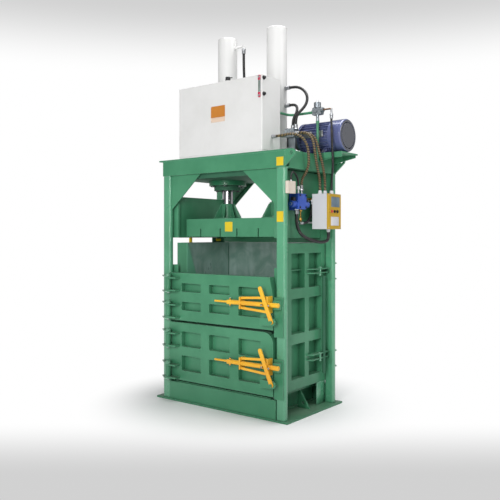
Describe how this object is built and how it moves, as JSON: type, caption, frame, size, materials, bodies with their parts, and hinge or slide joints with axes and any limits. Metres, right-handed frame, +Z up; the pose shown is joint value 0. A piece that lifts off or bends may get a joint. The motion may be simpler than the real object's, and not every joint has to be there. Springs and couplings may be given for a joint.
{
  "type": "recycling baler",
  "caption": "Vertical baler: steel frame over a bale chamber with hinged doors, hydraulic cylinders, an oil tank and a motor on top.",
  "frame": {"origin": "on the floor, in the middle of the frame's posts", "axes": "+Z up, +Y from the feed side to the rear, +X to the right seen from the feed side"},
  "size_m": [1.674, 0.995, 3.33],
  "materials": {
    "green_paint": "gloss",
    "inner_green": "worn, polished by use",
    "yellow_paint": "gloss",
    "white_paint": "satin",
    "motor_blue": "gloss",
    "valve_blue": "gloss",
    "chrome": "polished",
    "steel": "machined",
    "brass": "turned",
    "black_rubber": "smooth",
    "striped_cover": "braided",
    "grey_box": "satin",
    "yellow_panel": "satin",
    "beige_plastic": "moulded",
    "black_plastic": "moulded",
    "gauge_clear": "clear"
  },
  "bodies": {
    "frame": {"base_plate": "green_paint", "front_posts": "green_paint", "rear_posts": "green_paint", "sill_plates": "green_paint", "cross_beams": "green_paint", "side_beams": "green_paint", "top_plate": "green_paint", "crown_plate": "green_paint", "corner_gussets": "green_paint", "lifting_lugs": "green_paint", "side_wall_left": "green_paint", "side_wall_right": "green_paint", "upper_side_plates": "green_paint", "chamber_floor": "inner_green", "hinge_brackets": "green_paint", "hinge_pins": "steel", "keeper_plates": "green_paint", "barrel_left": "white_paint", "barrel_right": "white_paint", "glands": "green_paint", "flange_bolts": "steel", "oil_tank": "white_paint", "level_gauge": "gauge_clear", "motor_shelf": "green_paint", "motor_body": "motor_blue", "fan_cover": "motor_blue", "pump": "steel", "manifold": "steel", "return_pipe": "green_paint", "relief_head": "steel", "valve_block": "valve_blue", "control_box": "grey_box", "pressure_switch": "beige_plastic", "pipe_fittings": "brass", "cylinder_hose_left": "black_rubber", "cylinder_hose_upper": "black_rubber", "cylinder_hose_lower": "black_rubber", "striped_hose_a": "striped_cover", "striped_hose_b": "striped_cover", "striped_hose_c": "striped_cover", "loop_hose": "black_rubber", "valve_hose": "black_rubber", "motor_cable": "black_rubber", "switch_cable": "black_rubber"},
    "upper_door": {"upper_door": "green_paint", "upper_latch_yoke": "yellow_paint"},
    "upper_bolt": {"upper_latch_bolt": "yellow_paint"},
    "upper_lever": {"upper_latch_lever": "yellow_paint"},
    "lower_door": {"lower_door": "green_paint", "lower_latch_yoke": "yellow_paint"},
    "lower_bolt": {"lower_latch_bolt": "yellow_paint"},
    "lower_lever": {"lower_latch_lever": "yellow_paint"},
    "rear_door": {"rear_door": "green_paint"},
    "rear_bolt": {"rear_bolt": "steel"},
    "ram": {"platen": "green_paint", "rod_feet": "green_paint", "piston_rods": "chrome"},
    "rotor": {"motor_rotor": "steel"},
    "filler_cap": {"filler_cap": "black_plastic"},
    "box_door": {"control_box_door": "yellow_panel"}
  },
  "joints": [
    {"name": "upper_door_hinge", "type": "hinge", "parent": "frame", "child": "upper_door", "pos_m": [-0.56, -0.4535, 0.94], "axis": [0, 0, -1], "range_deg": [0, 120]},
    {"name": "lower_door_hinge", "type": "hinge", "parent": "frame", "child": "lower_door", "pos_m": [-0.56, -0.4535, 0.45], "axis": [0, 0, -1], "range_deg": [0, 120]},
    {"name": "rear_door_hinge", "type": "hinge", "parent": "frame", "child": "rear_door", "pos_m": [0.56, 0.4535, 0.8], "axis": [0, 0, -1], "range_deg": [0, 120]},
    {"name": "rear_bolt_slide", "type": "slide", "parent": "rear_door", "child": "rear_bolt", "axis": [1, 0, 0], "range_m": [0, 0.065]},
    {"name": "ram_slide", "type": "slide", "parent": "frame", "child": "ram", "axis": [0, 0, -1], "range_m": [0, 1]},
    {"name": "rotor_spin", "type": "hinge", "parent": "frame", "child": "rotor", "pos_m": [0.6, 0.2245, 2.345], "axis": [1, 0, 0], "continuous": true},
    {"name": "filler_cap_lift", "type": "slide", "parent": "frame", "child": "filler_cap", "axis": [0, 0, 1], "range_m": [0, 0.05]},
    {"name": "box_door_hinge", "type": "hinge", "parent": "frame", "child": "box_door", "pos_m": [0.778, 0.2888, 1.7], "axis": [0, 0, 1], "range_deg": [0, 100]},
    {"name": "upper_lever_turn", "type": "hinge", "parent": "upper_door", "child": "upper_lever", "pos_m": [0.62, -0.4965, 0.81], "axis": [0, -1, 0], "range_deg": [0, 18]},
    {"name": "upper_bolt_slide", "type": "slide", "parent": "upper_door", "child": "upper_bolt", "axis": [-1, 0, 0], "range_m": [0, 0.06]},
    {"name": "lower_lever_turn", "type": "hinge", "parent": "lower_door", "child": "lower_lever", "pos_m": [0.62, -0.4965, 0.314], "axis": [0, -1, 0], "range_deg": [0, 18]},
    {"name": "lower_bolt_slide", "type": "slide", "parent": "lower_door", "child": "lower_bolt", "axis": [-1, 0, 0], "range_m": [0, 0.06]}
  ],
  "couplings": [
    {"joint": "upper_bolt_slide", "follows": "upper_lever_turn", "m_per_rad": 0.1885},
    {"joint": "lower_bolt_slide", "follows": "lower_lever_turn", "m_per_rad": 0.1885}
  ]
}
